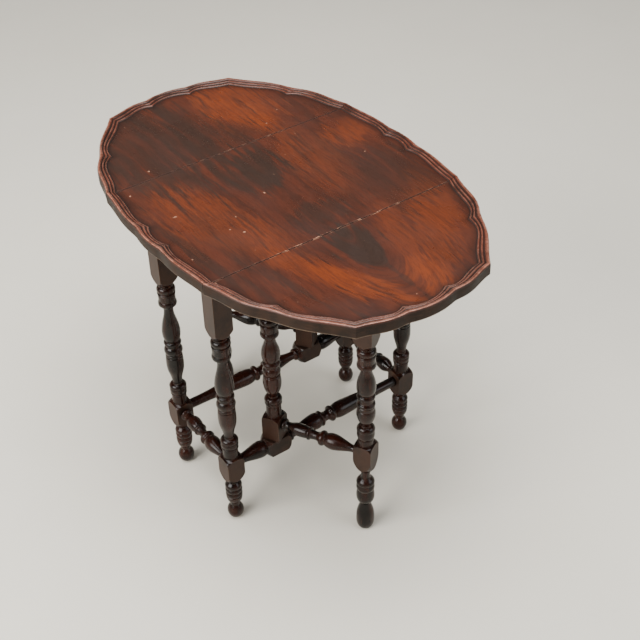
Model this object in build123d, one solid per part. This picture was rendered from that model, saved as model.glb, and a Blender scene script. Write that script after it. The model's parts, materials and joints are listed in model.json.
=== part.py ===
"""Gateleg side table: fixed board, two drop leaves, four turned legs and two swinging gates.

Millimetres, +Z up, floor at z = 0. +X points to the front leaf, +Y runs along the leaf seams.
The back half is the front half turned half a turn about Z. Both gates are built swung open.
"""

import os
from math import sqrt

from build123d import *

os.makedirs("parts", exist_ok=True)

# ---------------------------------------------------------------- driving dimensions
HEIGHT = 613.5            # floor to the top of the rim
RIM_H = 6.0               # the rim stands this far above the field
UNDER = 591.5             # underside of the boards
SEAM_X = 155.0            # half width of the fixed board
SEAM_GAP = 1.0            # open joint between the fixed board and a leaf
RIM_STEPS = [(0.3, 1.8), (0.65, 3.8), (1.0, RIM_H)]    # share of the rim's width, depth below its top

# Outline of the quarter +X +Y, each as (outer edge, foot of the rim): the corners at the seam and
# at the leaf's end, the notches between lobes, and the middles of the two lobes on the axes.
SEAM_CORNER = ((157.0, 250.8), (153.5, 234.0))
LEAF_CORNER = ((377.0, 129.0), (359.0, 118.5))
SLANT_NOTCH = ((269.0, 205.5), (260.0, 184.5))
END_NOTCH = ((395.5, 43.0), (372.0, 40.5))
SIDE_NOTCH = ((37.0, 260.3), (31.0, 238.0))
END_MIDDLE = ((402.0, 0.0), (385.0, 0.0))
SIDE_MIDDLE = ((0.0, 263.7), (0.0, 247.0))
# Swell of a lobe over its chord, outer edge and foot of the rim, and the two powers that set how
# the swell leans toward its notch.
SWELL_SEAM, SWELL_SLANT, SWELL_END, SWELL_SIDE = (7.0, 10.4), (5.0, 10.2), (4.7, 8.6), (3.1, 7.3)
LEAN = ((1.7, 2.7), (1.1, 3.0))
STATIONS = [0.05, 0.12, 0.2, 0.3, 0.42, 0.56, 0.72, 0.88]    # along a lobe from its notch

LEG = 34.5                # square stock of the standing legs and side stretchers
LEG_X, LEG_Y = 90.5, 195.0       # leg centres
GATE = 34.0               # square stock of the gates
POST_Y = -98.7            # pivot post of the front gate, on the side stretcher
GATE_R = 184.0            # pivot post to gate leg, centre to centre
GATE_OPEN = {"front": 27.1, "back": 36.5}    # degrees between a gate and the X axis as built
LOW_Z = 137.0             # axis of the side and end stretchers
GATE_LOW_Z = 189.0        # axis of the gate stretcher
LEAF_REST = 0.3           # free height between a gate leg and the leaf above it

APRON_T, APRON_H = 20.0, 60.0
APRON_Z = UNDER - APRON_H
RAIL_T, RAIL_Z, RAIL_H = 18.0, 470.0, 48.0
TENON_T, TENON_L = 8.0, 11.0     # flat tenons of aprons and rails
DOWEL_R, DOWEL_L = 6.0, 10.8     # round tenons turned on the stretcher ends
PINTLE_R = 6.0            # round pivots turned on the ends of a post
FIT = 0.06                # clearance round a glued tenon
RUN = 0.06                # running clearance round a pintle
POST_GAP = 0.4            # end float of a pivot post

HINGE_Y = 165.0           # hinges either side of the middle
HINGE_L, HINGE_W, HINGE_T = 50.0, 27.0, 1.6
KNUCKLE_R, PIN_R, PIN_FIT = 2.8, 1.4, 0.05
HINGE_Z = UNDER - KNUCKLE_R - 0.3
SCREW_R, SCREW_L, SCREW_HEAD = 1.6, 10.0, 3.0
SCREW_SPOTS = [(-18.0, 13.0), (0.0, 20.0), (18.0, 13.0)]    # along the seam, away from it

FRONT_BACK = {"front": 0.0, "back": 180.0}


# ---------------------------------------------------------------- turning
class Turning:
    """Half outline of a turned piece, followed along the lathe axis as (height, radius)."""

    def __init__(self, start, radius):
        self.edges = [Edge.make_line(Vector(0, 0, start), Vector(radius, 0, start))]
        self.z, self.r = start, radius

    def _add(self, edge, z, r):
        self.edges.append(edge)
        self.z, self.r = z, r
        return self

    def line(self, z, r):
        return self._add(Edge.make_line(Vector(self.r, 0, self.z), Vector(r, 0, z)), z, r)

    def bead(self, z, r, swell, at=0.5):
        middle = Vector(swell, 0, self.z + (z - self.z) * at)
        edge = Edge.make_three_point_arc(Vector(self.r, 0, self.z), middle, Vector(r, 0, z))
        return self._add(edge, z, r)

    def curve(self, *spots):
        points = [Vector(self.r, 0, self.z)] + [Vector(r, 0, z) for z, r in spots]
        return self._add(Edge.make_spline(points), *spots[-1])

    def solid(self):
        top = Edge.make_line(Vector(self.r, 0, self.z), Vector(0, 0, self.z))
        axis = Edge.make_line(Vector(0, 0, self.z), self.edges[0] @ 0)
        face = Face(Wire(self.edges + [top, axis]))
        return revolve(face, Axis.Z)


def half_diagonal(stock):
    return stock / 2 * sqrt(2) + 0.02


def prism(stock, bottom, top):
    return Pos(0, 0, (bottom + top) / 2) * Box(stock, stock, top - bottom)


def upper_turning(t, corner, top):
    """Rings, drum and square head shared by the legs and the gates, from the vase upward."""
    t.line(416, 15.7).line(416.6, 14.8)
    t.bead(420.6, 14.8, 16.5).line(421.6, 14.6)
    t.bead(434, 12.8, 16.9).line(435.5, 12.4)
    t.curve((440, 14.9), (446, 18.6), (451, 22.3), (456, corner)).line(top, corner)
    return t


def standing_leg():
    corner = half_diagonal(LEG)
    t = Turning(0, 4.8)
    t.curve((4, 10.4), (9, 13.6), (17.6, 15.4), (26, 13.7), (31, 10.6), (33.2, 9.0)).line(40, 9.2)
    t.curve((44, 12.3), (51, 14.6), (57, 15.2)).line(58, 14.0)
    t.bead(67.5, 14.0, 15.7).line(68.5, 14.0).bead(78, 14.0, 15.9).line(79, 14.0)
    t.bead(90.5, 12.6, 15.8, 0.45).line(93, 10.2).line(95, 10.2)
    t.curve((98.5, 12.4), (104.5, 17.0), (112.5, 22.0), (121, corner)).line(150, corner)
    t.curve((154.5, 22.0), (157.5, 18.5), (159.5, 14.2)).line(178, 14.0).line(179, 13.4)
    t.bead(184, 14.6, 15.5).line(185, 14.4).bead(195, 14.8, 16.0).line(196, 14.6)
    t.curve((198.5, 16.2), (201, 15.7), (204.2, 13.2), (206, 9.4)).line(208, 8.9)
    t.curve((214, 9.4), (227, 12.0), (240, 15.3), (252, 16.4), (271, 15.8)).line(273, 14.6)
    t.bead(278.5, 14.6, 15.8).line(280, 14.8).bead(295, 14.2, 17.2).line(296, 13.2)
    t.line(300.5, 13.2).bead(309, 13.4, 16.2, 0.55).line(310.3, 12.8)
    t.curve((319, 16.0), (329, 16.9), (352, 13.9), (366, 10.5), (377, 8.8)).line(383, 9.0)
    t.curve((389, 11.0), (393, 16.2)).bead(401.5, 15.4, 16.9).line(402.5, 14.8).line(404.5, 15.4)
    upper_turning(t, corner, UNDER)
    return t.solid() & prism(LEG, 0, UNDER)


def gate_leg():
    corner = half_diagonal(GATE)
    top = UNDER - LEAF_REST
    t = Turning(0, 9.0)
    t.curve((4, 13.0), (14, 16.4), (26, 16.8), (42, 15.6), (56, 11.8), (64, 9.6))
    t.curve((68, 12.0), (74, 15.2), (81, 16.7), (90, 16.6), (98.5, 15.2)).line(99.5, 14.9)
    t.bead(113.5, 15.0, 16.8).line(114.5, 14.9)
    t.curve((117, 16.6), (121, 16.4), (125.5, 13.4), (129, 9.2)).line(131, 8.2).line(146.5, 8.2)
    t.curve((153, 14.0), (162, 19.0), (173, 22.6), (183, corner)).line(207.5, corner)
    t.curve((211.5, 22.0), (214.5, 18.4), (216.5, 14.2)).line(228, 14.0).line(229, 13.5)
    t.bead(246, 14.8, 16.0).line(247, 14.6)
    t.curve((249, 16.2), (252.5, 16.0), (256.8, 13.4), (259, 9.7)).line(261, 9.3)
    t.curve((264, 10.0), (270.5, 12.9), (277.5, 15.3), (287, 16.9), (296, 15.8)).line(297.5, 14.8)
    t.line(305, 15.3).line(306, 14.4).bead(314, 13.6, 16.3).line(314.8, 12.9).line(323, 12.9)
    t.bead(331.5, 13.4, 16.1, 0.55).line(332.5, 12.8)
    t.curve((340, 16.0), (352, 16.8), (368, 14.0), (378, 10.8), (382, 10.0)).line(387, 9.9)
    t.curve((390.5, 11.6), (394.5, 16.0)).bead(403, 15.2, 16.7).line(404, 14.6).line(406, 15.4)
    upper_turning(t, corner, top)
    return t.solid() & prism(GATE, 0, top)


def pivot_post():
    corner = half_diagonal(GATE)
    bottom = LOW_Z + LEG / 2 + POST_GAP
    top = APRON_Z - POST_GAP
    t = Turning(bottom, corner).line(199.5, corner)
    t.curve((203.5, 22.0), (206.5, 18.4), (208.5, 14.2)).line(232, 14.0).line(233, 13.5)
    t.bead(242, 14.8, 15.8).line(243, 14.5)
    t.curve((244.5, 16.1), (247.5, 16.0), (251.2, 13.2), (253, 9.6)).line(255, 9.3)
    t.curve((259, 10.0), (266, 12.9), (274, 15.5), (284, 16.8), (301, 15.4)).line(302.5, 14.2)
    t.bead(305.5, 14.2, 15.6).line(306.5, 14.2).bead(321, 13.6, 16.3).line(322, 12.9)
    t.line(326, 12.9).bead(335.5, 13.4, 16.1, 0.55).line(336.5, 12.9)
    t.curve((343, 15.8), (352, 16.8), (368, 14.2), (378, 10.8), (382, 10.0)).line(387, 9.9)
    t.curve((390.5, 11.6), (394.5, 16.0)).bead(403, 15.2, 16.7).line(404, 14.6).line(406, 15.4)
    upper_turning(t, corner, top)
    body = t.solid() & prism(GATE, bottom, top)
    for low, high in ((bottom - 14, bottom), (top, top + 18)):
        body += Pos(0, 0, (low + high) / 2) * Cylinder(PINTLE_R, high - low)
    return body


def side_stretcher():
    """Long stretcher from the near leg (0) to the far leg, with the block that carries a post."""
    corner = half_diagonal(LEG)
    first, last = LEG / 2, 2 * LEG_Y - LEG / 2
    t = Turning(first - DOWEL_L, DOWEL_R).line(first, DOWEL_R).line(first, 9.4)
    t.curve((34, 11.2), (52, 15.0), (62, 15.9), (69, 14.8)).line(70.5, 13.6)
    t.curve((73, 17.0), (78.5, corner)).line(113.5, corner).curve((118, 21.0), (122.5, 12.0))
    t.line(124.5, 11.0).bead(130.5, 10.6, 12.6).line(131.5, 8.8)
    t.curve((142, 9.2), (160, 12.4), (178, 15.6), (187, 15.9), (193, 14.4)).line(194.5, 13.0)
    t.bead(200, 13.0, 15.6).curve((206, 9.8), (212, 9.8), (217, 13.0)).bead(225.5, 13.0, 15.8)
    t.line(227, 12.6).curve((236, 15.4), (246, 16.0), (262, 15.2), (295, 12.4), (335, 9.8))
    t.line(last, 9.4).line(last, DOWEL_R).line(last + DOWEL_L, DOWEL_R)
    return t.solid() & prism(LEG, 0, 2 * LEG_Y)


def short_stretcher(span, stock, first_vase):
    """Stretcher between two posts span apart: collar, small vase, rings, spool, large vase."""
    k = (span - stock) / 150.0
    first, last = stock / 2, span - stock / 2

    def at(share):
        return first + share * k

    t = Turning(first - DOWEL_L, DOWEL_R).line(first, DOWEL_R).line(first, 9.0)
    t.line(at(1.5), 9.4).bead(at(8.5), 9.4, 12.0).line(at(10), 7.8)
    t.curve((at(15), 7.8), (at(27), first_vase - 0.8), (at(38), first_vase), (at(51), 11.0))
    t.line(at(53), 9.6).bead(at(58.5), 9.6, 12.4).curve((at(64), 8.4), (at(72), 8.4), (at(77), 11.4))
    t.bead(at(87), 12.0, 14.4).line(at(88.5), 11.4)
    t.curve((at(94), 13.6), (at(102), 14.9), (at(112), 13.8), (at(128), 9.6), (at(141), 6.8))
    t.line(last, 7.0).line(last, DOWEL_R).line(last + DOWEL_L, DOWEL_R)
    return t.solid()


# ---------------------------------------------------------------- top outline
def between(pair, share):
    """Point, or number, at a share of the way across the rim from its outer edge to its foot."""
    outer, foot = pair
    if isinstance(outer, tuple):
        return Vector(*outer) + (Vector(*foot) - Vector(*outer)) * share
    return outer + (foot - outer) * share


def swell_at(along, share, swell):
    """Height of a lobe over its chord at a fraction along it, counted from the notch."""
    height = [0.0, 0.0]
    for i, (rise, fall) in enumerate(LEAN):
        peak = rise / (rise + fall)
        height[i] = swell[i] * (along / peak) ** rise * ((1 - along) / (1 - peak)) ** fall
    return between(height, share)


def lobe(notch, corner, swell, share, side):
    """Edge from a notch to a corner that swells toward side (+1 left of the way, -1 right)."""
    start, end = between(notch, share), between(corner, share)
    chord = end - start
    out = Vector(-chord.Y, chord.X).normalized() * side
    middle = [start + chord * f + out * swell_at(f, share, swell) for f in STATIONS]
    return Edge.make_spline([start] + middle + [end])


def axis_lobe(notch, middle, share):
    """Half of a lobe that crosses an axis, taken from the arc through both of its notches."""
    a, m = between(notch, share), between(middle, share)
    b = Vector(-a.X, a.Y) if m.X == 0 else Vector(a.X, -a.Y)
    whole = Edge.make_three_point_arc(a, m, b)
    return whole.trim(0, 0.5)


def top_outline(share=0.0):
    """Face inside the outline at a share of the way across the rim."""
    quarter = [
        axis_lobe(END_NOTCH, END_MIDDLE, share),
        lobe(END_NOTCH, LEAF_CORNER, SWELL_END, share, -1),
        lobe(SLANT_NOTCH, LEAF_CORNER, SWELL_SLANT, share, 1),
        lobe(SLANT_NOTCH, SEAM_CORNER, SWELL_SEAM, share, -1),
        lobe(SIDE_NOTCH, SEAM_CORNER, SWELL_SIDE, share, 1),
        axis_lobe(SIDE_NOTCH, SIDE_MIDDLE, share),
    ]
    half = quarter + [mirror(e, Plane.YZ) for e in quarter]
    whole = half + [mirror(e, Plane.XZ) for e in half]
    return Face(Wire(Wire.combine(whole)[0].edges()))


def layer(face, bottom, top):
    return Pos(0, 0, bottom) * extrude(face, top - bottom, dir=(0, 0, 1))


def whole_top():
    """The three boards as one slab, before the seams are cut."""
    slab = layer(top_outline(), UNDER, HEIGHT)
    for share, depth in RIM_STEPS:
        slab -= layer(top_outline(share), HEIGHT - depth, HEIGHT + 1)
    return slab


# ---------------------------------------------------------------- flat joinery
def tenoned_board(length, thickness, height, tenon_h):
    """Board along X, centred, with a flat tenon on each end; its bottom edge is at z = 0."""
    board = Pos(0, 0, height / 2) * Box(length, thickness, height)
    return board + Pos(0, 0, height / 2) * Box(length + 2 * TENON_L, TENON_T, tenon_h)


def flat_mortise(stock, height, tenon_h):
    """Socket for one flat tenon entering the +X face of a post, centred on z = height / 2."""
    depth = TENON_L + 0.4
    hole = Box(depth, TENON_T + 2 * FIT, tenon_h + 2 * FIT)
    return Pos(stock / 2 - depth / 2, 0, height / 2) * hole


def round_mortise(stock, z):
    depth = DOWEL_L + 0.3
    return Pos(stock / 2 - depth / 2, 0, z) * Rot(0, 90, 0) * Cylinder(DOWEL_R + FIT, depth)


def turned(shape, angle):
    return Rot(0, 0, angle) * shape


def both(nodes, name, shape):
    """Add a front piece and the same piece turned half a turn for the back."""
    for side, angle in FRONT_BACK.items():
        nodes[f"{name}_{side}"] = turned(shape, angle)


# ---------------------------------------------------------------- hinges
def knuckle(start, end):
    barrel = Cylinder(KNUCKLE_R, end - start) - Cylinder(PIN_R + PIN_FIT, end - start + 1)
    return Pos(SEAM_X, (start + end) / 2, HINGE_Z) * Rot(90, 0, 0) * barrel


def hinge_flap(side, spans, centre):
    """Flap under one board: side is -1 for the fixed board and +1 for the leaf."""
    middle = SEAM_X + side * (HINGE_W + 0.4) / 2
    flap = Pos(middle, centre, UNDER - HINGE_T / 2) * Box(HINGE_W - 0.4, HINGE_L, HINGE_T)
    clear = Pos(SEAM_X, centre, HINGE_Z) * Rot(90, 0, 0) * Cylinder(KNUCKLE_R + 0.3, HINGE_L + 1)
    flap -= clear
    bore = Pos(SEAM_X, centre, HINGE_Z) * Rot(90, 0, 0) * Cylinder(PIN_R + PIN_FIT, HINGE_L)
    for start, end in spans:
        spot = Pos(SEAM_X + side * 2.2, centre + (start + end) / 2, UNDER - HINGE_T / 2)
        web = spot * Box(4.4, end - start, HINGE_T)
        flap += knuckle(centre + start, centre + end) + (web - bore)
    for along, away in SCREW_SPOTS:
        spot = Pos(SEAM_X + side * away, centre + along, UNDER - HINGE_T / 2)
        hole = Cone(SCREW_HEAD + 0.05, SCREW_R + 0.05, HINGE_T)
        flap -= spot * hole
    return flap


def hinge_screws(side, centre):
    screws = []
    for along, away in SCREW_SPOTS:
        spot = Pos(SEAM_X + side * away, centre + along, UNDER)
        head = Pos(0, 0, -HINGE_T / 2) * Cone(SCREW_HEAD, SCREW_R, HINGE_T)
        shank = Pos(0, 0, SCREW_L / 2) * Cylinder(SCREW_R, SCREW_L)
        slot = Pos(0, 0, -HINGE_T) * Box(2 * SCREW_HEAD, 0.7, 1.0)
        screws.append(spot * (head + shank - slot))
    return screws


def screw_holes(side):
    holes = []
    for centre in (-HINGE_Y, HINGE_Y):
        for along, away in SCREW_SPOTS:
            spot = Pos(SEAM_X + side * away, centre + along, UNDER + SCREW_L / 2)
            holes.append(spot * Cylinder(SCREW_R + 0.05, SCREW_L + 0.6))
    return holes


# ---------------------------------------------------------------- build
def build_frame(nodes):
    leg = standing_leg()
    apron_tenon = APRON_H - 16
    to_side = turned(flat_mortise(LEG, 2 * APRON_Z + APRON_H, apron_tenon), 90)
    to_end = turned(flat_mortise(LEG, 2 * APRON_Z + APRON_H, apron_tenon), 180)
    leg -= to_side + to_end + turned(round_mortise(LEG, LOW_Z), 90)
    leg -= turned(round_mortise(LEG, LOW_Z), 180)
    for side, x in (("front", 1), ("back", -1)):
        for hand, y in (("left", -1), ("right", 1)):
            quarter = {(1, -1): 0, (1, 1): 90, (-1, 1): 180, (-1, -1): 270}[(x, y)]
            nodes[f"leg_{side}_{hand}"] = Pos(x * LEG_X, y * LEG_Y, 0) * turned(leg, quarter)

    rail = side_stretcher()
    block_at = POST_Y + LEG_Y
    socket = Pos(LEG / 2 - 7.5, 0, block_at) * Rot(0, 90, 0) * Cylinder(PINTLE_R + RUN, 15.5)
    laid = Pos(LEG_X, -LEG_Y, LOW_Z) * Rot(-90, 0, 0) * Rot(0, 0, -90) * (rail - socket)
    both(nodes, "side_stretcher", laid)

    end = short_stretcher(2 * LEG_X, LEG, 13.4)
    laid = Pos(-LEG_X, -LEG_Y, LOW_Z) * Rot(0, 90, 0) * end
    nodes["end_stretcher_left"] = laid
    nodes["end_stretcher_right"] = turned(laid, 180)

    long_apron = tenoned_board(2 * LEG_Y - LEG, APRON_T, APRON_H, apron_tenon)
    laid = Pos(LEG_X, 0, APRON_Z) * turned(long_apron, 90)
    laid -= Pos(LEG_X, POST_Y, APRON_Z + 9) * Cylinder(PINTLE_R + RUN, 19)
    both(nodes, "side_apron", laid)
    short_apron = tenoned_board(2 * LEG_X - LEG, APRON_T, APRON_H, apron_tenon)
    laid = Pos(0, -LEG_Y, APRON_Z) * short_apron
    nodes["end_apron_left"] = laid
    nodes["end_apron_right"] = turned(laid, 180)

    block = Pos(LEG_X - APRON_T / 2 - 11, 0, UNDER - 11) * Box(22, 45, 22)
    blocks = [Pos(0, y, 0) * block for y in (-120, 0, 120)]
    nodes["glue_blocks"] = Compound(blocks + [turned(b, 180) for b in blocks])


def build_gate(nodes):
    rail_mid = 2 * RAIL_Z + RAIL_H
    rail_tenon = RAIL_H - 12
    leg = gate_leg() - turned(flat_mortise(GATE, rail_mid, rail_tenon), 180)
    leg -= turned(round_mortise(GATE, GATE_LOW_Z), 180)
    post = pivot_post() - flat_mortise(GATE, rail_mid, rail_tenon)
    post -= round_mortise(GATE, GATE_LOW_Z)
    rail = tenoned_board(GATE_R - GATE, RAIL_T, RAIL_H, rail_tenon)
    low = short_stretcher(GATE_R, GATE, 12.2)
    for side, half_turn in FRONT_BACK.items():
        place = Rot(0, 0, half_turn) * Pos(LEG_X, POST_Y, 0) * Rot(0, 0, GATE_OPEN[side])
        nodes[f"pivot_post_{side}"] = place * post
        nodes[f"gate_leg_{side}"] = place * Pos(GATE_R, 0, 0) * leg
        nodes[f"gate_rail_{side}"] = place * Pos(GATE_R / 2, 0, RAIL_Z) * rail
        nodes[f"gate_stretcher_{side}"] = place * Pos(0, 0, GATE_LOW_Z) * Rot(0, 90, 0) * low


def build_top(nodes):
    slab = whole_top()
    for hole in screw_holes(-1) + screw_holes(1):
        slab -= hole
        slab -= turned(hole, 180)
    tall = 80
    fixed_w = SEAM_X - SEAM_GAP / 2
    nodes["fixed_top"] = slab & Pos(0, 0, HEIGHT) * Box(2 * fixed_w, 900, tall)
    leaf_cut = Pos(SEAM_X + SEAM_GAP / 2 + 200, 0, HEIGHT) * Box(400, 900, tall)
    nodes["leaf_board_front"] = slab & leaf_cut
    nodes["leaf_board_back"] = slab & turned(leaf_cut, 180)


def build_hinges(nodes):
    third = HINGE_L / 3
    outer = [(-HINGE_L / 2, -third / 2 - 0.15), (third / 2 + 0.15, HINGE_L / 2)]
    inner = [(-third / 2 + 0.15, third / 2 - 0.15)]
    centres = (-HINGE_Y, HINGE_Y)
    both(nodes, "hinge_fixed_flaps", Compound([hinge_flap(-1, outer, c) for c in centres]))
    both(nodes, "hinge_leaf_flaps", Compound([hinge_flap(1, inner, c) for c in centres]))
    pin = Rot(90, 0, 0) * Cylinder(PIN_R, HINGE_L)
    both(nodes, "hinge_pins", Compound([Pos(SEAM_X, c, HINGE_Z) * pin for c in centres]))
    for board, side in (("fixed", -1), ("leaf", 1)):
        screws = [s for c in centres for s in hinge_screws(side, c)]
        both(nodes, f"hinge_screws_{board}", Compound(screws))


def main():
    nodes = {}
    build_frame(nodes)
    build_gate(nodes)
    build_top(nodes)
    build_hinges(nodes)
    for name, shape in nodes.items():
        export_step(shape, f"parts/{name}.step")


main()
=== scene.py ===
"""Gateleg side table: the boards with their moulded rim, and every finish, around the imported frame.

Metres, in the frame's own axes: +X to the front leaf, +Y along the seams, floor at z = 0.
"""

import json
import math

import bmesh
import bpy
from mathutils import Matrix, Vector


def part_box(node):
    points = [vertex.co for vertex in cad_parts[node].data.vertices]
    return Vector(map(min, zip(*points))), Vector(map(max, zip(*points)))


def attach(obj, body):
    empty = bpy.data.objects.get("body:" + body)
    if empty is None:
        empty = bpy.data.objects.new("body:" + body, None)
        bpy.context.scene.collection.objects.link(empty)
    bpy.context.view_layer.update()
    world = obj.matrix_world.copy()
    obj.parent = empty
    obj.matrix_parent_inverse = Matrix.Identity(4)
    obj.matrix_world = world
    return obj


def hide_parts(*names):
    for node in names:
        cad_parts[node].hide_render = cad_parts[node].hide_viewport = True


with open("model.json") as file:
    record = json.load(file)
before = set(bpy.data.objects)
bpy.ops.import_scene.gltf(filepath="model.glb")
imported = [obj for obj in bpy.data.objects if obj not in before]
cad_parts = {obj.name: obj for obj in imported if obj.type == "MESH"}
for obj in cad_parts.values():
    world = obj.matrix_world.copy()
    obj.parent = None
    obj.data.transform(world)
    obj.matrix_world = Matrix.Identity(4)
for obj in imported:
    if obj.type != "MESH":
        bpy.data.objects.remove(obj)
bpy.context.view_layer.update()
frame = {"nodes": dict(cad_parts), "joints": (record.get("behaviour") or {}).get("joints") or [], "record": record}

# ---------------------------------------------------------------- sizes
MM = 0.001
FIELD_DROP = 6.0      # mm from the rim's top down to the field
board_low, board_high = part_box("fixed_top")
UNDER, RIM_TOP = board_low.z, board_high.z
FIELD = RIM_TOP - FIELD_DROP * MM
LEAF_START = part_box("leaf_board_front")[0].x
SEAM = (board_high.x + LEAF_START) / 2      # middle of the open joint
SEAM_HALF = (LEAF_START - board_high.x) / 2

# Outline of one quarter of the top, in mm, each point as (outer edge, foot of the rim).
SEAM_CORNER = ((157.0, 250.8), (153.5, 234.0))
LEAF_CORNER = ((377.0, 129.0), (359.0, 118.5))
SLANT_NOTCH = ((269.0, 205.5), (260.0, 184.5))
END_NOTCH = ((395.5, 43.0), (372.0, 40.5))
SIDE_NOTCH = ((37.0, 260.3), (31.0, 238.0))
END_MIDDLE = ((402.0, 0.0), (385.0, 0.0))
SIDE_MIDDLE = ((0.0, 263.7), (0.0, 247.0))
# Swell of each lobe over its chord, in mm, and the powers of its rise and fall, which lean it toward
# the notch. Both are given at the outer edge and at the foot of the rim.
SWELL_SEAM, SWELL_SLANT, SWELL_END, SWELL_SIDE = (7.0, 10.4), (5.0, 10.2), (4.7, 8.6), (3.1, 7.3)
LEAN = ((1.7, 2.7), (1.1, 3.0))
LOBE_STEPS = 18      # points on a lobe
AXIS_STEPS = 6       # points on half of the lobe that an axis halves

# Section of the rim from the underside up the edge and in to the field, each row as
# (share of the way in, height in mm, lightened, grime and shade). Lightened pales the lower arris, and along the
# rim's crest and reed crests it is wear with a painted highlight. Grime and shade is grime with painted shade in
# the quirks and on the outer rounding, and painted shade at the field's border. Heights count from the underside
# in EDGE_FOOT, and from the rim's top in RIM and BORDER.
EDGE_FOOT = [(0.1, 0.0, 0.0, 0.0), (0.03, 0.25, 0.8, 0.0), (0.0, 1.2, 0.3, 0.0), (0.0, 2.4, 0.0, 0.1)]
RIM = [
    (0.0, -3.4, 0.0, 0.6),
    (0.012, -2.1, 0.0, 0.6),
    (0.04, -1.0, 0.1, 0.4),
    (0.08, -0.4, 0.8, 0.0),
    (0.12, -0.15, 0.7, 0.0),
    (0.17, 0.0, 0.3, 0.0),
    (0.25, -0.15, 0.3, 0.0),
    (0.33, -0.8, 0.0, 0.2),
    (0.38, -1.9, 0.0, 0.7),
    (0.41, -2.9, 0.0, 1.0),
    (0.44, -2.5, 0.0, 0.8),
    (0.49, -1.95, 0.1, 0.1),
    (0.56, -1.8, 0.35, 0.0),
    (0.63, -2.2, 0.1, 0.1),
    (0.68, -3.3, 0.0, 0.7),
    (0.71, -4.6, 0.0, 1.0),
    (0.74, -4.2, 0.0, 0.7),
    (0.79, -3.8, 0.1, 0.1),
    (0.85, -3.8, 0.35, 0.0),
    (0.91, -4.3, 0.1, 0.2),
    (0.96, -5.4, 0.0, 0.8),
    (1.0, -FIELD_DROP, 0.0, 1.0),
]
# Rings inside the foot of the rim, over which painted shade at the rim's foot fades into the field.
BORDER = [(1.08, -FIELD_DROP, 0.0, 0.55), (1.3, -FIELD_DROP, 0.0, 0.3), (1.75, -FIELD_DROP, 0.0, 0.0)]

# Material slots of a board: its field, its rim, and its outer edge with the underside and the cuts.
FIELD_SLOT, RIM_SLOT, EDGE_SLOT = 0, 1, 2
ARRIS, ARRIS_STEPS, ARRIS_PROFILE = 0.7 * MM, 3, 0.6      # easing of a cut's top edge
SHARP_ANGLE = math.radians(32)                            # a sharper turn than this is shaded as an edge
SAME_PLACE = 1e-5                                         # m within which two places count as one


# ---------------------------------------------------------------- outline of the top
def across(pair, share):
    """Point at a share of the way in from the rim's outer edge to its foot."""
    return Vector(pair[0]).lerp(Vector(pair[1]), share)


def swell_at(along, share, swell):
    """Height of a lobe over its chord at a fraction along it, counted from the notch."""
    heights = []
    for height, (rise, fall) in zip(swell, LEAN):
        peak = rise / (rise + fall)
        heights.append(height * (along / peak) ** rise * ((1 - along) / (1 - peak)) ** fall)
    return heights[0] + (heights[1] - heights[0]) * share


def lobe(notch, corner, swell, share, side):
    """Points from a notch up to, and without, a corner; side is +1 if the lobe swells to the left."""
    start, end = across(notch, share), across(corner, share)
    chord = end - start
    out = Vector((-chord.y, chord.x)).normalized() * side
    points = []
    for i in range(LOBE_STEPS):
        along = i / LOBE_STEPS
        points.append(start + chord * along + out * swell_at(along, share, swell))
    return points


def axis_lobe(notch, middle, share):
    """Points on a circular arc from an axis out to, and without, a notch."""
    edge, crown = across(notch, share), across(middle, share)
    run = 1 if crown.x > crown.y else 0      # the coordinate that grows along the arc
    out = 1 - run
    rise, half = crown[out] - edge[out], edge[run]
    radius = (half * half + rise * rise) / (2 * rise)
    points = []
    for i in range(AXIS_STEPS):
        point = crown.copy()
        point[run] = half * i / AXIS_STEPS
        point[out] -= radius - math.sqrt(radius * radius - point[run] ** 2)
        points.append(point)
    return points


def quarter(share):
    """Points of the quarter +X +Y from the X axis round to the Y axis.

    A lobe that has to run toward its first point is turned round, and leaves that point out.
    """
    points = axis_lobe(END_NOTCH, END_MIDDLE, share)
    points += lobe(END_NOTCH, LEAF_CORNER, SWELL_END, share, -1)
    points.append(across(LEAF_CORNER, share))
    points += lobe(SLANT_NOTCH, LEAF_CORNER, SWELL_SLANT, share, 1)[:0:-1]
    points += lobe(SLANT_NOTCH, SEAM_CORNER, SWELL_SEAM, share, -1)
    points.append(across(SEAM_CORNER, share))
    points += lobe(SIDE_NOTCH, SEAM_CORNER, SWELL_SIDE, share, 1)[:0:-1]
    points.append(across(SIDE_NOTCH, share))
    points += axis_lobe(SIDE_NOTCH, SIDE_MIDDLE, share)[:0:-1]
    points.append(across(SIDE_MIDDLE, share))
    return points


def outline(share):
    """The whole outline, counted anticlockwise, in metres."""
    first = quarter(share)
    half = first + [Vector((-p.x, p.y)) for p in first[-2::-1]]
    whole = half + [Vector((p.x, -p.y)) for p in half[-2:0:-1]]
    return [p * MM for p in whole]


# ---------------------------------------------------------------- meshes and objects
def smooth_mesh(name, bm):
    """A smooth mesh made from bm, which is then freed."""
    mesh = bpy.data.meshes.new(name)
    bm.to_mesh(mesh)
    bm.free()
    mesh.shade_smooth()
    return mesh


def in_scene(name, data):
    """A new object that holds the data, linked into the scene."""
    obj = bpy.data.objects.new(name, data)
    bpy.context.scene.collection.objects.link(obj)
    return obj


# ---------------------------------------------------------------- boards
def slot_of(level):
    """Material slot of the faces between a row of the section and the next one."""
    if level < len(EDGE_FOOT):
        return EDGE_SLOT
    return RIM_SLOT if level < len(EDGE_FOOT + RIM) - 1 else FIELD_SLOT


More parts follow.
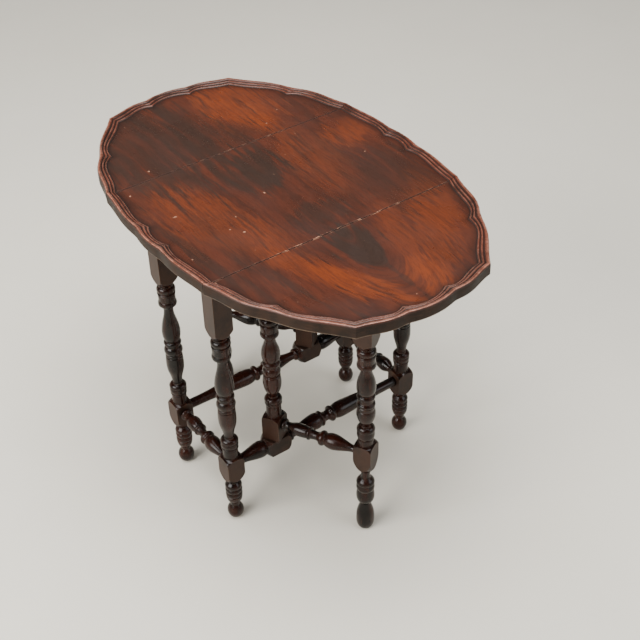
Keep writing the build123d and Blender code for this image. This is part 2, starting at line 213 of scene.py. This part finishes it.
def slab():
    """The three boards in one closed mesh, before the seams are cut."""
    bm = bmesh.new()
    worn = bm.verts.layers.float.new("worn")
    grimy = bm.verts.layers.float.new("grimy")
    section = [(share, UNDER + height * MM, *marks) for share, height, *marks in EDGE_FOOT]
    section += [(share, RIM_TOP + height * MM, *marks) for share, height, *marks in RIM + BORDER]
    rows = []
    for share, z, lightening, darkening in section:
        row = [bm.verts.new((p.x, p.y, z)) for p in outline(share)]
        for v in row:
            v[worn], v[grimy] = lightening, darkening
        rows.append(row)
    for level, (low, high) in enumerate(zip(rows, rows[1:])):
        for i in range(len(low)):
            face = bm.faces.new((low[i - 1], low[i], high[i], high[i - 1]))
            face.material_index = slot_of(level)
    bm.faces.new(rows[0][::-1]).material_index = EDGE_SLOT
    bm.faces.new(rows[-1]).material_index = FIELD_SLOT
    return bm


def on_arris(edge, x):
    """Whether an edge of the cut at x is on the field's surface."""
    near_cut = all(abs(v.co.x - x) < SAME_PLACE for v in edge.verts)
    return near_cut and all(abs(v.co.z - FIELD) < SAME_PLACE for v in edge.verts)


def cut(bm, x, keep):
    """Cut the slab at x, keep the side toward +1 or -1, close the cut and ease its top arris."""
    made = bmesh.ops.bisect_plane(
        bm,
        geom=bm.verts[:] + bm.edges[:] + bm.faces[:],
        plane_co=(x, 0, 0),
        plane_no=(-keep, 0, 0),
        clear_outer=True,
    )
    edges = [e for e in made["geom_cut"] if isinstance(e, bmesh.types.BMEdge)]
    filled = bmesh.ops.triangle_fill(bm, edges=edges, use_beauty=True, use_dissolve=True)
    for face in filled["geom"]:
        if isinstance(face, bmesh.types.BMFace):
            face.material_index = EDGE_SLOT
    arris = [e for e in bm.edges if on_arris(e, x)]
    bmesh.ops.bevel(
        bm, geom=arris, offset=ARRIS, segments=ARRIS_STEPS, profile=ARRIS_PROFILE, affect="EDGES"
    )


def board(name, low_x, high_x, body, node):
    """One board between two cuts, or out to the leaf's end where a cut is None."""
    bm = slab()
    if low_x is not None:
        cut(bm, low_x, 1)
    if high_x is not None:
        cut(bm, high_x, -1)
    bmesh.ops.recalc_face_normals(bm, faces=bm.faces[:])
    mesh = smooth_mesh(name, bm)
    mesh.set_sharp_from_angle(angle=SHARP_ANGLE)
    obj = in_scene(name, mesh)
    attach(obj, body)
    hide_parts(node)
    return obj


# ---------------------------------------------------------------- shader building
def srgb(*values):
    """Linear colour with alpha from 0..255 display values."""
    linear = []
    for v in values:
        v /= 255
        linear.append(v / 12.92 if v <= 0.04045 else ((v + 0.055) / 1.055) ** 2.4)
    return (*linear, 1.0)


NOISE_RANGE = (0.3, 0.7)                # where nearly all of a noise's values lie
EASING_SAMPLES, OPEN_SAMPLES = 6, 8     # rays for eased edges and for recesses


class Finish:
    """One material, with short calls that add and join its nodes."""

    def __init__(self, name):
        self.material = bpy.data.materials.new(name)
        self.material.use_nodes = True
        self.tree = self.material.node_tree
        self.shader = self.tree.nodes["Principled BSDF"]

    def put(self, socket, value):
        """Link a socket to the value if that is a socket too, or else set it; None changes nothing."""
        if isinstance(value, bpy.types.NodeSocket):
            self.tree.links.new(value, socket)
        elif value is not None:
            socket.default_value = value

    def add(self, kind, inputs=(), **settings):
        """A new shader node with these inputs and settings."""
        node = self.tree.nodes.new("ShaderNode" + kind)
        for name, value in settings.items():
            setattr(node, name, value)
        for key, value in dict(inputs).items():
            self.put(node.inputs[key], value)
        return node

    def math(self, operation, a, b=None, c=None, clamp=False):
        """Result of Blender's math operation of that name."""
        node = self.add("Math", {0: a, 1: b, 2: c}, operation=operation, use_clamp=clamp)
        return node.outputs[0]

    def times(self, value, *factors):
        """The value multiplied by every factor in turn."""
        for factor in factors:
            value = self.math("MULTIPLY", value, factor)
        return value

    def larger(self, a, b):
        """The larger of two values."""
        return self.math("MAXIMUM", a, b)

    def vector(self, operation, a, b=None):
        """Result of Blender's vector operation of that name."""
        node = self.add("VectorMath", {0: a, 1: b}, operation=operation)
        return node.outputs["Value" if operation in ("LENGTH", "DOT_PRODUCT") else "Vector"]

    def combine(self, x, y, z=0.0):
        """The vector x, y, z."""
        return self.add("CombineXYZ", {0: x, 1: y, 2: z}).outputs[0]

    def split(self, vector):
        """X, Y and Z of a vector."""
        return self.add("SeparateXYZ", {0: vector}).outputs

    def scaled(self, values, scales):
        """The vector of two or three values, each times its own scale."""
        return self.combine(*(self.times(value, scale) for value, scale in zip(values, scales)))

    def noise(self, vector, scale=1.0, detail=4.0, rough=0.55, distort=0.0):
        """Cloudy pattern of 0..1 with its mean near 0.5; scale is its features for each unit of vector."""
        inputs = {
            "Vector": vector,
            "Scale": scale,
            "Detail": detail,
            "Roughness": rough,
            "Distortion": distort,
        }
        return self.add("TexNoise", inputs).outputs[0]

    def step(self, value, span, to=(0.0, 1.0)):
        """Smooth change from one result to the other as the value crosses the span."""
        inputs = {"Value": value, 1: span[0], 2: span[1], 3: to[0], 4: to[1]}
        return self.add("MapRange", inputs, interpolation_type="SMOOTHSTEP").outputs[0]

    def mix(self, factor, a, b):
        """Colour that goes from a to b as the factor goes from 0 to 1."""
        node = self.add("Mix", data_type="RGBA", clamp_factor=True)
        self.put(node.inputs[0], factor)
        self.put(node.inputs[6], a)
        self.put(node.inputs[7], b)
        return node.outputs[2]

    def attribute(self, name):
        """A float attribute of the mesh."""
        return self.add("Attribute", attribute_name=name).outputs["Fac"]

    def turned(self, vector, yaw):
        """The vector in axes turned by yaw about Z."""
        inputs = {"Vector": vector, "Axis": (0.0, 0.0, 1.0), "Angle": -yaw}
        return self.add("VectorRotate", inputs, rotation_type="AXIS_ANGLE").outputs[0]

    def position(self):
        """Place on the piece, in metres, which moves with it."""
        return self.add("TexCoord").outputs["Object"]

    def normal(self):
        """Direction that the surface faces."""
        return self.add("NewGeometry").outputs["Normal"]

    def bump(self, height, distance, strength=1.0, normal=None):
        """Normal of a surface that rises by the distance where the height is 1."""
        inputs = {"Height": height, "Distance": distance, "Strength": strength, "Normal": normal}
        return self.add("Bump", inputs).outputs[0]

    def eased(self, radius):
        """Normal of the surface with its sharp edges eased."""
        return self.add("Bevel", {"Radius": radius}, samples=EASING_SAMPLES).outputs[0]

    def nearness_to_edge(self, eased):
        """How far the eased normal leaves the true one: 0 on a face, rising toward an edge."""
        return self.math("SUBTRACT", 1.0, self.vector("DOT_PRODUCT", eased, self.normal()), clamp=True)

    def open(self, distance):
        """1 in the open, toward 0 in a recess."""
        return self.add("AmbientOcclusion", {"Distance": distance}, samples=OPEN_SAMPLES).outputs["AO"]

    def output(self, **sockets):
        """The material, once the shader has these values; _ stands for a space in a socket's name."""
        for name, value in sockets.items():
            self.put(self.shader.inputs[name.replace("_", " ")], value)
        return self.material


# ---------------------------------------------------------------- mahogany veneer
FIGURE_START = 0.16       # x in m where the figure, straight along X up to there, begins to curve in
FIGURE_ASPECT = 0.30      # breadth of the nested curves over their length
FIGURE_DRIFT = 0.03       # m that the figure wanders to either side
# How fine each pattern is, per metre, along X, across the figure, and along Y.
FIGURE_SCALES, STREAK_SCALES, PORE_SCALES = (5.0, 52.0, 5.0), (12.0, 170.0, 9.0), (60.0, 450.0)
PATCH_RAGGED = 2.2             # how far the figure breaks up a patch's border
PATCH_BORDER = (1.20, 0.75)    # where a patch begins and where it is full, over its half size
DARK_PATCHES = [               # x, y, half length, half width, slope of the long side, strength
    (-0.250, -0.055, 0.150, 0.075, 0.00, 0.75),
    (-0.190, 0.015, 0.070, 0.055, -0.10, 0.60),
    (-0.080, 0.000, 0.072, 0.042, -0.12, 1.00),
    (-0.060, -0.045, 0.060, 0.030, 0.35, 0.70),
    (0.100, 0.010, 0.030, 0.050, 0.20, 0.60),
    (0.120, -0.030, 0.045, 0.020, 0.40, 0.45),
    (0.210, 0.003, 0.060, 0.036, -0.05, 1.00),
    (0.310, 0.006, 0.085, 0.005, 0.00, 0.65),
    (-0.270, -0.110, 0.170, 0.130, 0.00, 0.82),
    (0.075, 0.165, 0.100, 0.080, -0.20, 0.42),
    (0.150, -0.205, 0.200, 0.012, 0.16, 0.55),
    (0.200, -0.150, 0.160, 0.010, 0.28, 0.55),
    (0.065, -0.150, 0.090, 0.040, 0.10, 0.30),
    (-0.030, 0.112, 0.080, 0.050, 0.00, 0.35),
]
LIGHT_PATCHES = [
    (-0.290, 0.082, 0.115, 0.075, 0.10, 0.95),
    (0.325, 0.045, 0.065, 0.036, -0.25, 0.90),
    (0.285, -0.060, 0.095, 0.030, 0.45, 0.95),
    (0.180, -0.110, 0.100, 0.026, 0.30, 0.70),
    (-0.075, 0.190, 0.045, 0.055, 0.00, 0.65),
    (0.220, 0.150, 0.100, 0.050, -0.35, 0.60),
    (-0.050, 0.095, 0.120, 0.045, -0.05, 0.50),
    (-0.020, -0.160, 0.130, 0.055, 0.05, 0.60),
    (0.070, -0.120, 0.090, 0.040, 0.15, 0.60),
    (0.220, 0.075, 0.100, 0.028, -0.30, 0.50),
]
BRIGHT, RED, DEEP, SHADOW = srgb(104, 47, 21), srgb(71, 35, 23), srgb(54, 29, 21), srgb(44, 31, 25)
PORE = srgb(26, 14, 10)
STREAK_SHADE, PORE_SHADE = 0.40, 0.22      # how dark the thinnest streaks and the pores are at most

# Painted shade along the field's border at the foot of the rim: its colour and share.
FIELD_BORDER_SHADE, FIELD_BORDER_SHADE_SHARE = srgb(20, 13, 10), 0.9
CRACK, CRACK_ROUGH = srgb(44, 25, 18), 0.75
CRACK_REACH = (1.3 * MM, 0.9 * MM)         # from a seam's middle: no dark line beyond, and a full one
SEAM_WEAR = srgb(205, 150, 120)
SEAM_WEAR_REACH = (3.2 * MM, 0.6 * MM)     # from a seam's middle: no wear beyond, and full wear
SEAM_WEAR_BY_X = (0.15, 0.6)               # share of that wear at the back seam and at the front one
BETWEEN_SEAMS = (0.0, 0.1)                 # span of x between them over which that share changes
SEAM_WEAR_BY_Y = (0.2, 0.9)                # share of it toward a seam's ends and along its middle
SEAM_MIDDLE = (0.14, 0.09)                 # distances from the X axis between which that share changes
FLECK, FLECK_SHARE = srgb(170, 128, 104), 0.6
FIELD_ROUGH = (0.24, 0.36)
FIELD_WAVES = (0.25 * MM, 0.5)             # a relief's height and the strength it shows with
FIELD_SPECULAR, FIELD_COAT, FIELD_COAT_ROUGH = 0.36, 0.12, 0.16


def patches(f, position, ragged, spots):
    """Strongest of several soft ellipses whose edges the figure breaks up."""
    total = 0.0
    for x, y, long, wide, slope, strength in spots:
        offset = f.vector("SUBTRACT", position, (x, y, 0.0))
        along = f.vector("DOT_PRODUCT", offset, (1 / long, 0.0, 0.0))
        aside = f.vector("DOT_PRODUCT", offset, (-slope / wide, 1 / wide, 0.0))
        reach = f.math("ADD", f.vector("LENGTH", f.combine(along, aside)), ragged)
        total = f.larger(total, f.step(reach, PATCH_BORDER, (0.0, strength)))
    return total


def veneer(f, position, x, y):
    """Colour of figured mahogany, laid along X and curling in to the front tip."""
    ahead = f.times(f.larger(f.math("SUBTRACT", x, FIGURE_START), 0.0), FIGURE_ASPECT)
    bend = f.vector("LENGTH", f.combine(ahead, y))
    drift = f.math("SUBTRACT", f.noise(position, 6.0, detail=3.0), 0.5)
    lane = f.math("MULTIPLY_ADD", drift, FIGURE_DRIFT, bend)
    figure = f.noise(f.scaled((x, lane, y), FIGURE_SCALES), detail=4.0, rough=0.6, distort=0.3)
    streak = f.noise(f.scaled((x, lane, y), STREAK_SCALES), detail=2.5, rough=0.6, distort=0.2)
    pores = f.noise(f.scaled((x, bend), PORE_SCALES), detail=2.0, rough=0.5)
    ragged = f.times(f.math("SUBTRACT", f.math("ADD", figure, streak), 1.0), PATCH_RAGGED)
    light = f.times(patches(f, position, ragged, LIGHT_PATCHES), f.step(streak, (0.25, 0.68), (0.25, 1.0)))
    dark = f.times(patches(f, position, ragged, DARK_PATCHES), f.step(figure, (0.75, 0.35), (0.55, 1.0)))
    colour = f.mix(f.step(figure, (0.36, 0.66)), DEEP, RED)
    colour = f.mix(light, colour, BRIGHT)
    colour = f.mix(dark, colour, SHADOW)
    colour = f.mix(f.step(streak, (0.42, 0.20), (0.0, STREAK_SHADE)), colour, SHADOW)
    return f.mix(f.step(pores, (0.52, 0.34), (0.0, PORE_SHADE)), colour, PORE)


def field_finish():
    """Veneered field with grime at its border, open seams and small flecks."""
    f = Finish("mahogany_veneer")
    position = f.position()
    x, y, _ = f.split(position)
    colour = veneer(f, position, x, y)
    # Painted shade along the field's border at the foot of the rim.
    colour = f.mix(f.times(f.attribute("grimy"), FIELD_BORDER_SHADE_SHARE), colour, FIELD_BORDER_SHADE)

    from_seam = f.math("ABSOLUTE", f.math("SUBTRACT", f.math("ABSOLUTE", x), SEAM))
    seam_noise = f.noise(f.scaled((x, y), (300.0, 60.0)), rough=0.7)
    lightening = f.times(
        f.step(from_seam, SEAM_WEAR_REACH),
        f.step(seam_noise, (0.50, 0.60)),
        f.step(x, BETWEEN_SEAMS, SEAM_WEAR_BY_X),
        f.step(f.math("ABSOLUTE", y), SEAM_MIDDLE, SEAM_WEAR_BY_Y),
    )
    crack = f.step(from_seam, CRACK_REACH)
    colour = f.mix(crack, colour, CRACK)
    colour = f.mix(lightening, colour, SEAM_WEAR)
    flecks = f.noise(position, 75.0, detail=2.0, rough=0.4)
    colour = f.mix(f.step(flecks, (0.77, 0.81), (0.0, FLECK_SHARE)), colour, FLECK)

    rough = f.step(f.noise(position, 9.0, rough=0.6, distort=0.4), NOISE_RANGE, FIELD_ROUGH)
    waves = f.noise(position, 26.0, detail=1.0, rough=0.4)
    return f.output(
        Base_Color=colour,
        Roughness=f.larger(rough, f.times(crack, CRACK_ROUGH)),
        Normal=f.bump(waves, *FIELD_WAVES),
        Specular_IOR_Level=FIELD_SPECULAR,
        Coat_Weight=FIELD_COAT,
        Coat_Roughness=FIELD_COAT_ROUGH,
    )


# ---------------------------------------------------------------- rim and edge of the boards
# The last colour here is the pale of the crest and reed crests: wear with a painted highlight.
RIM_DARK, RIM_RED, RIM_RUBBED_AND_HIGHLIT = srgb(38, 18, 13), srgb(70, 32, 22), srgb(206, 140, 116)
RIM_RUBBED_AND_HIGHLIT_SHARE = (0.2, 0.55)              # how much shows of a pale place (wear with a painted highlight), least and most
RIM_ROUGH = (0.20, 0.32)
RIM_RELIEF = (0.1 * MM, 0.4)
RIM_SPECULAR, RIM_GLOSS = 0.4, (1.0, 0.80, 0.74, 1.0)      # strength and pinkish tint of its gloss
# Grime with painted shade in the quirks and on the outer rounding: its colour, and the roughness of the grime.
RIM_GRIME_AND_SHADE, QUIRK_ROUGH = srgb(17, 10, 8), 0.85

EDGE_DARK, EDGE_BROWN, EDGE_GRAIN, EDGE_RUBBED = (
    srgb(22, 15, 11),
    srgb(44, 30, 22),
    srgb(62, 40, 29),
    srgb(150, 128, 108),
)
EDGE_GRAIN_SCALES = (60.0, 60.0, 500.0)     # per metre, finest up through the board
EDGE_GRAIN_SHARE = 0.5
EDGE_ROUGH = (0.42, 0.6)
EDGE_RELIEF = (0.3 * MM, 0.5)
EDGE_SPECULAR = 0.14


def rim_finish():
    """Glossy moulding, dull and dark with grime and painted shade in its quirks and on its outer rounding, and
    pale with wear and a painted highlight along its crest and reeds.
    """
    f = Finish("rim_moulding")
    position = f.position()
    worn, grimy = f.attribute("worn"), f.attribute("grimy")
    patchy = f.noise(position, 60.0, detail=5.0, rough=0.65)
    colour = f.mix(f.step(f.noise(position, 22.0), (0.35, 0.65)), RIM_DARK, RIM_RED)
    # Pale crest and reed crests: wear with a painted highlight.
    colour = f.mix(f.times(worn, f.step(patchy, (0.35, 0.62), RIM_RUBBED_AND_HIGHLIT_SHARE)), colour, RIM_RUBBED_AND_HIGHLIT)
    # Grime with painted shade in the quirks and on the outer rounding.
    colour = f.mix(grimy, colour, RIM_GRIME_AND_SHADE)
    return f.output(
        Base_Color=colour,
        Roughness=f.larger(f.step(patchy, NOISE_RANGE, RIM_ROUGH), f.times(grimy, QUIRK_ROUGH)),
        Normal=f.bump(patchy, *RIM_RELIEF),
        Specular_IOR_Level=RIM_SPECULAR,
        Specular_Tint=RIM_GLOSS,
    )


def edge_finish():
    """Dull dark edge and underside of the boards, rubbed lighter at the lower arris."""
    f = Finish("board_edge")
    position = f.position()
    grain = f.noise(f.vector("MULTIPLY", position, EDGE_GRAIN_SCALES), rough=0.6, distort=0.4)
    stain = f.noise(position, 45.0, detail=5.0, rough=0.65)
    rubbed = f.times(f.attribute("worn"), f.step(stain, (0.35, 0.6), (0.4, 1.0)))
    colour = f.mix(f.step(stain, NOISE_RANGE), EDGE_DARK, EDGE_BROWN)
    colour = f.mix(f.step(grain, (0.5, 0.75), (0.0, EDGE_GRAIN_SHARE)), colour, EDGE_GRAIN)
    colour = f.mix(rubbed, colour, EDGE_RUBBED)
    return f.output(
        Base_Color=colour,
        Roughness=f.step(stain, NOISE_RANGE, EDGE_ROUGH),
        Normal=f.bump(f.math("ADD", grain, stain), *EDGE_RELIEF),
        Specular_IOR_Level=EDGE_SPECULAR,
    )


# ---------------------------------------------------------------- dark wood and metal
# Each wood: dark, middle and warm colour, roughness, and how much its outer edges are rubbed.
# mahogany_top dresses only the boards' CAD nodes, which are hidden, since the remade boards replace them.
WOODS = {
    "dark_turned_wood": (srgb(7, 5, 4), srgb(43, 18, 11), srgb(50, 31, 21), 0.20, 0.6),
    "hidden_rails": (srgb(15, 9, 7), srgb(34, 20, 14), srgb(52, 33, 23), 0.45, 0.5),
    "mahogany_top": (srgb(40, 22, 15), srgb(76, 40, 26), srgb(92, 52, 34), 0.40, 0.3),
}
# Each metal: its colour, the colour of its film, how much of it the film covers, and roughness.
METALS = {
    "iron_hinges": (srgb(96, 90, 84), srgb(84, 48, 28), 0.7, 0.45),
    "steel_fixings": (srgb(176, 172, 166), srgb(92, 70, 52), 0.35, 0.35),
}
GRAIN_STRETCH = 0.035                  # fineness of the grain along it over that across it
FIBRE_SCALE, BAND_SCALE = 260.0, 40.0  # fineness across the grain, per metre
BAND_SOFTENING = 0.6                   # power that makes the bands less drawn out than the fibres
FLAT_FACING = (0.9985, 0.9998)         # largest part of a normal along one axis, from turned to flat
FLAT_PAINTED_LIGHT, FLAT_ROUGH = 0.75, 0.46   # painted light: flat faces are lighter and warmer in colour; and they are this rough or rougher
ARRIS_RUBBED, ARRIS_ROUND = srgb(150, 112, 84), 0.9 * MM
# Painted shade in recesses: its colour, and the reach of the occlusion that finds them.
RECESS_SHADE, RECESS_REACH = srgb(14, 9, 7), 12.0 * MM
FIBRE_SHARE, STAIN_SHARE, RECESS_SHADE_SHARE = 0.55, 0.6, 0.85      # the most that each one shows
FIBRE_RELIEF, FINE_RELIEF = 0.5, 0.6   # shares of the fibres and of a finer noise in the relief
WOOD_ROUGH_SPREAD = (-0.07, 0.10)      # to either side of a wood's roughness
WOOD_RELIEF = (0.25 * MM, 0.45)
WOOD_SPECULAR = 0.22
METAL_ROUND, METAL_RELIEF = 0.3 * MM, (0.1 * MM, 0.5)
METAL_DARKEST = 0.55                   # share of its colour that a metal keeps where it is darkest
BARE_METALLIC = 0.95                   # how metallic the metal is where it is bare
FILM_METALLIC_LOSS, FILM_ROUGHENING = 0.7, 0.25
FILM_SPAN = ((0.62, 0.3), (0.72, 0.2))  # noise where film begins and is full, each less share times this


def dark_wood(name, yaw, upright, dark, mid, warm, rough, edge_wear):
    """Stained wood with its grain along Z if upright, or else along the level direction at yaw."""
    f = Finish(name)
    position = f.position()
    local = f.turned(position, yaw)
    grain = (1.0, 1.0, GRAIN_STRETCH) if upright else (GRAIN_STRETCH, 1.0, 1.0)
    fibre_scales = tuple(FIBRE_SCALE * c for c in grain)
    band_scales = tuple(BAND_SCALE * c ** BAND_SOFTENING for c in grain)
    fibres = f.noise(f.vector("MULTIPLY", local, fibre_scales), rough=0.6, distort=0.3)
    bands = f.noise(f.vector("MULTIPLY", local, band_scales), rough=0.6, distort=0.6)
    stain = f.noise(position, 26.0, detail=5.0, rough=0.65)

    eased = f.eased(ARRIS_ROUND)
    near_edge = f.nearness_to_edge(eased)
    in_open = f.open(RECESS_REACH)
    nx, ny, nz = f.split(f.vector("ABSOLUTE", f.turned(f.normal(), yaw)))
    flat = f.step(f.larger(f.larger(nx, ny), nz), FLAT_FACING)
    rubbed = f.times(
        f.step(near_edge, (0.03, 0.16), (0.0, edge_wear)),
        f.step(stain, (0.38, 0.62), (0.25, 1.0)),
        f.step(in_open, (0.55, 0.85)),
    )
    colour = f.mix(f.step(bands, (0.32, 0.68)), dark, mid)
    # Painted light: flat faces made lighter and warmer than the turned ones.
    colour = f.mix(f.times(flat, FLAT_PAINTED_LIGHT), colour, warm)
    colour = f.mix(f.step(fibres, (0.52, 0.78), (0.0, FIBRE_SHARE)), colour, warm)
    colour = f.mix(f.step(stain, (0.55, 0.30), (0.0, STAIN_SHARE)), colour, dark)
    colour = f.mix(rubbed, colour, ARRIS_RUBBED)
    # Painted shade: recesses darkened by ambient occlusion.
    colour = f.mix(f.step(in_open, (0.85, 0.30), (0.0, RECESS_SHADE_SHARE)), colour, RECESS_SHADE)

    gloss = f.noise(position, 40.0, rough=0.6)
    shine = f.step(gloss, NOISE_RANGE, tuple(rough + change for change in WOOD_ROUGH_SPREAD))
    fine = f.noise(position, 120.0, detail=3.0)
    relief = f.math("ADD", f.times(fibres, FIBRE_RELIEF), f.times(fine, FINE_RELIEF))
    return f.output(
        Base_Color=colour,
        Roughness=f.larger(shine, f.times(flat, FLAT_ROUGH)),
        Normal=f.bump(relief, *WOOD_RELIEF, eased),
        Specular_IOR_Level=WOOD_SPECULAR,
    )


def metal(name, colour, spots, spot_share, rough):
    """Bare metal with a patchy film over it."""
    f = Finish(name)
    position = f.position()
    film_noise = f.noise(position, 180.0, detail=6.0, rough=0.65)
    film = f.step(film_noise, tuple(start - spot_share * drop for start, drop in FILM_SPAN))
    darkest = tuple(c * METAL_DARKEST for c in colour[:3]) + (1.0,)
    tint = f.mix(f.noise(position, 70.0, detail=3.0), colour, darkest)
    tint = f.mix(f.times(film, spot_share), tint, spots)
    relief = f.noise(position, 600.0, detail=3.0)
    return f.output(
        Base_Color=tint,
        Roughness=f.math("ADD", rough, f.times(film, FILM_ROUGHENING)),
        Metallic=f.math("SUBTRACT", BARE_METALLIC, f.times(film, FILM_METALLIC_LOSS)),
        Normal=f.bump(relief, *METAL_RELIEF, f.eased(METAL_ROUND)),
    )


def gate_yaw(side):
    """Direction from a gate's pivot to its leg, as an angle from +X."""
    joint = next(j for j in frame["joints"] if j["name"] == f"gate_{side}_swing")
    low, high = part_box(f"gate_leg_{side}")
    middle = (low + high) / 2
    return math.atan2(middle.y - joint["pos_m"][1], middle.x - joint["pos_m"][0])


def lie_of(node):
    """A node's yaw, and whether its grain stands upright."""
    low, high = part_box(node)
    size = high - low
    upright = size.z > max(size.x, size.y)
    body = next(b for b, nodes in frame["record"]["behaviour"]["bodies"].items() if node in nodes)
    if body.startswith("gate"):
        return gate_yaw(body.split("_")[1]), upright
    return (0.0 if upright or size.x > size.y else math.pi / 2), upright


def dress_nodes():
    """Give every CAD node its finish: one for each metal, and for each wood, yaw and grain direction."""
    slots = {p["node"]: p["material_slot"] for p in frame["record"]["subparts"]}
    made = {slot: metal(slot, *looks) for slot, looks in METALS.items()}
    for node, obj in frame["nodes"].items():
        key = slots[node]
        if key in WOODS:
            yaw, upright = lie_of(node)
            key += f"_{'upright' if upright else 'level'}_{math.degrees(yaw):.0f}"
            if key not in made:
                made[key] = dark_wood(key, yaw, upright, *WOODS[slots[node]])
        obj.data.materials.clear()
        obj.data.materials.append(made[key])


# ---------------------------------------------------------------- studio
CAMERA_AT = (1.4327, -0.9206, 1.7058)                                 # fitted to the photo
CAMERA_AZIMUTH, CAMERA_DOWN, CAMERA_ROLL = 55.346, 39.222, -1.371     # degrees
LENS, SENSOR = 67.3, 36.0                                             # mm
CLIP_START, CLIP_END = 0.05, 50.0
FLOOR_HUB = 0.6                                                 # radius of the mesh's middle face
SWEEP_START, SWEEP_BEND, SWEEP_TOP = 3.8, 1.0, 1.7              # where it turns up, bend radius, height
SWEEP_SIDES, SWEEP_STEP = 96, 10                                # faces around, degrees of each in the bend
FLOOR_PALE, FLOOR_PALER, FLOOR_ROUGH = srgb(208, 203, 190), srgb(216, 211, 199), 0.9
TABLE_MIDDLE, UNDER_TABLE = (0, 0, 0.3), (0, 0, 0)
LIGHTS = (      # name, place, aim, width and height in m, power in W, colour
    ("key", (0.2, -3.2, 2.2), TABLE_MIDDLE, 2.6, 2.0, 210.0, (1.0, 0.98, 0.95)),
    ("fill", (2.8, 1.8, 2.0), TABLE_MIDDLE, 2.2, 1.8, 45.0, (0.95, 0.97, 1.0)),
    ("overhead", (0.2, -0.1, 3.2), UNDER_TABLE, 2.6, 2.6, 190.0, (1.0, 1.0, 1.0)),
)
SURROUND_COLOUR = (0.82, 0.83, 0.84, 1.0)
SURROUND_FADE = (0.10, 0.42)            # climb of a direction, 0 level to 1 upright, where it dims
SURROUND_STRENGTH = (0.70, 0.14)        # below that climb and above it


def place_camera():
    """The photo's camera."""
    azimuth, down, roll = (math.radians(v) for v in (CAMERA_AZIMUTH, CAMERA_DOWN, CAMERA_ROLL))
    reach = math.cos(down)
    ahead = Vector((-math.sin(azimuth) * reach, math.cos(azimuth) * reach, -math.sin(down)))
    level = Vector((math.cos(azimuth), math.sin(azimuth), 0))
    above = level.cross(ahead)
    right = level * math.cos(roll) + above * math.sin(roll)
    up = right.cross(ahead)
    data = bpy.data.cameras.new("camera")
    data.lens, data.sensor_width = LENS, SENSOR
    data.clip_start, data.clip_end = CLIP_START, CLIP_END
    camera = in_scene("camera", data)
    camera.matrix_world = Matrix.Translation(CAMERA_AT) @ Matrix((right, up, -ahead)).transposed().to_4x4()
    bpy.context.scene.camera = camera


def soft_light(name, place, aim, width, height, power, tint):
    """A rectangular light that the camera doesn't see."""
    data = bpy.data.lights.new(name, "AREA")
    data.shape, data.size, data.size_y = "RECTANGLE", width, height
    data.energy, data.color = power, tint
    light = in_scene(name, data)
    light.visible_camera = False
    light.location = place
    light.rotation_mode = "QUATERNION"
    light.rotation_quaternion = (Vector(aim) - Vector(place)).to_track_quat("-Z", "Y")


def lay_floor():
    """Pale floor that sweeps up all round."""
    profile = [(FLOOR_HUB, 0.0)]
    for degrees in range(0, 91, SWEEP_STEP):
        bend = math.radians(degrees)
        profile.append((SWEEP_START + SWEEP_BEND * math.sin(bend), SWEEP_BEND * (1 - math.cos(bend))))
    profile.append((profile[-1][0], SWEEP_TOP))

    bm = bmesh.new()
    around = [2 * math.pi * i / SWEEP_SIDES for i in range(SWEEP_SIDES)]
    rings = []
    for radius, z in profile:
        rings.append([bm.verts.new((radius * math.cos(a), radius * math.sin(a), z)) for a in around])
    bm.faces.new(rings[0])
    for inner, outer in zip(rings, rings[1:]):
        for i in range(SWEEP_SIDES):
            bm.faces.new((inner[i - 1], outer[i - 1], outer[i], inner[i]))
    floor = in_scene("floor", smooth_mesh("floor", bm))
    f = Finish("floor")
    mottle = f.mix(f.noise(f.position(), 3.0), FLOOR_PALE, FLOOR_PALER)
    floor.data.materials.append(f.output(Base_Color=mottle, Roughness=FLOOR_ROUGH))


def surround():
    """Pale near the horizon and dim overhead, so that level glossy faces keep their colour."""
    world = bpy.data.worlds.new("surround")
    world.use_nodes = True
    nodes, links = world.node_tree.nodes, world.node_tree.links
    height = nodes.new("ShaderNodeSeparateXYZ")
    fade = nodes.new("ShaderNodeMapRange")
    fade.interpolation_type = "SMOOTHSTEP"
    limits = ("From Min", "From Max", "To Min", "To Max")
    for name, value in zip(limits, SURROUND_FADE + SURROUND_STRENGTH):
        fade.inputs[name].default_value = value
    background = nodes["Background"]
    background.inputs["Color"].default_value = SURROUND_COLOUR
    links.new(nodes.new("ShaderNodeTexCoord").outputs["Generated"], height.inputs[0])
    links.new(height.outputs["Z"], fade.inputs["Value"])
    links.new(fade.outputs[0], background.inputs["Strength"])
    bpy.context.scene.world = world


# ---------------------------------------------------------------- scene
dress_nodes()
board_finishes = (field_finish(), rim_finish(), edge_finish())      # in the order of their slots
for board_name, low_cut, high_cut, board_body, board_node in (
    ("top_fixed", -SEAM + SEAM_HALF, SEAM - SEAM_HALF, "frame", "fixed_top"),
    ("top_leaf_front", SEAM + SEAM_HALF, None, "leaf_front", "leaf_board_front"),
    ("top_leaf_back", None, -SEAM - SEAM_HALF, "leaf_back", "leaf_board_back"),
):
    remade = board(board_name, low_cut, high_cut, board_body, board_node)
    for finish in board_finishes:
        remade.data.materials.append(finish)
place_camera()
lay_floor()
for facts in LIGHTS:
    soft_light(*facts)
surround()
